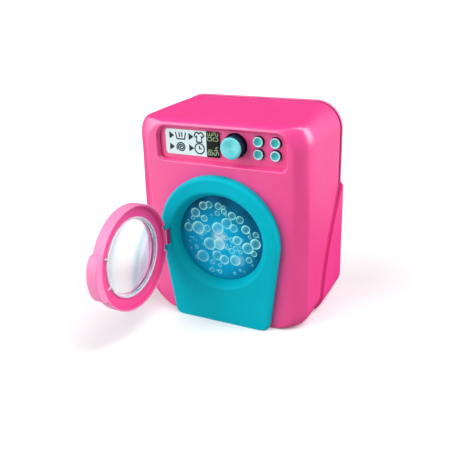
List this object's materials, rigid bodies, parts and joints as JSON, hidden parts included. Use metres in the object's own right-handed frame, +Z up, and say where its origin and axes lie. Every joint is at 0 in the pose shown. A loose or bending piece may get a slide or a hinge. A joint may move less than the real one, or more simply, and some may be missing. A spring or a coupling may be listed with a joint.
{
  "type": "toy washing machine",
  "caption": "Toy washing machine with a porthole door on a side hinge, a turning bubble drum geared to a knob, push buttons and a control strip.",
  "frame": {"origin": "middle of the footprint, on the face that the toy stands on", "axes": "+X to the right as seen from the front, +Y to the back, +Z up"},
  "size_m": [0.1474, 0.1805, 0.165],
  "materials": {
    "shell_pink": "glossy moulded pink",
    "rear_pink": "glossy moulded pink",
    "teal": "glossy moulded teal",
    "label_mint": "printed film",
    "display_black": "smooth black",
    "knob_blue": "satin pale blue",
    "button_teal": "satin teal",
    "bubble_blue": "printed with bubbles",
    "gear_white": "natural white",
    "bracket_grey": "satin grey",
    "door_pink": "glossy pale pink",
    "trim_magenta": "glossy magenta",
    "steel": "plated",
    "clear": "clear polished"
  },
  "bodies": {
    "housing": {"front_shell": "shell_pink", "rear_shell": "rear_pink", "arch_panel": "teal", "control_label": "label_mint", "display_window": "display_black", "gear_bracket": "bracket_grey", "idler_screw": "steel", "button_plate": "bracket_grey", "button_plate_screw": "steel", "hinge_pin": "steel", "housing_screw_1": "steel", "housing_screw_2": "steel", "housing_screw_3": "steel", "housing_screw_4": "steel", "bracket_screw_1": "steel", "bracket_screw_2": "steel", "bracket_screw_3": "steel", "bracket_screw_4": "steel", "button_spring_1": "steel", "button_spring_2": "steel", "button_spring_3": "steel", "button_spring_4": "steel"},
    "drum": {"bubble_disc": "bubble_blue", "drum_gear": "gear_white"},
    "idler": {"idler_gear": "gear_white"},
    "knob": {"control_knob": "knob_blue", "knob_shaft": "gear_white", "knob_clip": "steel"},
    "door": {"door_frame": "door_pink", "door_trim": "trim_magenta", "door_window": "clear"},
    "button_1": {"push_button_1": "button_teal"},
    "button_2": {"push_button_2": "button_teal"},
    "button_3": {"push_button_3": "button_teal"},
    "button_4": {"push_button_4": "button_teal"}
  },
  "joints": [
    {"name": "drum_spin", "type": "hinge", "parent": "housing", "child": "drum", "pos_m": [0, -0.036, 0.0705], "axis": [0, 1, 0], "continuous": true},
    {"name": "idler_spin", "type": "hinge", "parent": "housing", "child": "idler", "pos_m": [0.00134, -0.024, 0.12177], "axis": [0, 1, 0], "continuous": true},
    {"name": "knob_spin", "type": "hinge", "parent": "housing", "child": "knob", "pos_m": [0.0136, -0.036, 0.145], "axis": [0, 1, 0], "continuous": true},
    {"name": "door_swing", "type": "hinge", "parent": "housing", "child": "door", "pos_m": [-0.0425, -0.0475, 0.0705], "axis": [0, 0, 1], "range_deg": [-20, 93]},
    {"name": "button_1_press", "type": "slide", "parent": "housing", "child": "button_1", "axis": [0, 1, 0], "range_m": [0, 0.0015], "stiffness_N_per_m": 200, "deforming": ["button_spring_1"]},
    {"name": "button_2_press", "type": "slide", "parent": "housing", "child": "button_2", "axis": [0, 1, 0], "range_m": [0, 0.0015], "stiffness_N_per_m": 200, "deforming": ["button_spring_2"]},
    {"name": "button_3_press", "type": "slide", "parent": "housing", "child": "button_3", "axis": [0, 1, 0], "range_m": [0, 0.0015], "stiffness_N_per_m": 200, "deforming": ["button_spring_3"]},
    {"name": "button_4_press", "type": "slide", "parent": "housing", "child": "button_4", "axis": [0, 1, 0], "range_m": [0, 0.0015], "stiffness_N_per_m": 200, "deforming": ["button_spring_4"]}
  ],
  "couplings": [
    {"joint": "idler_spin", "follows": "drum_spin", "ratio": -2.1538},
    {"joint": "knob_spin", "follows": "drum_spin", "ratio": 3.5}
  ]
}
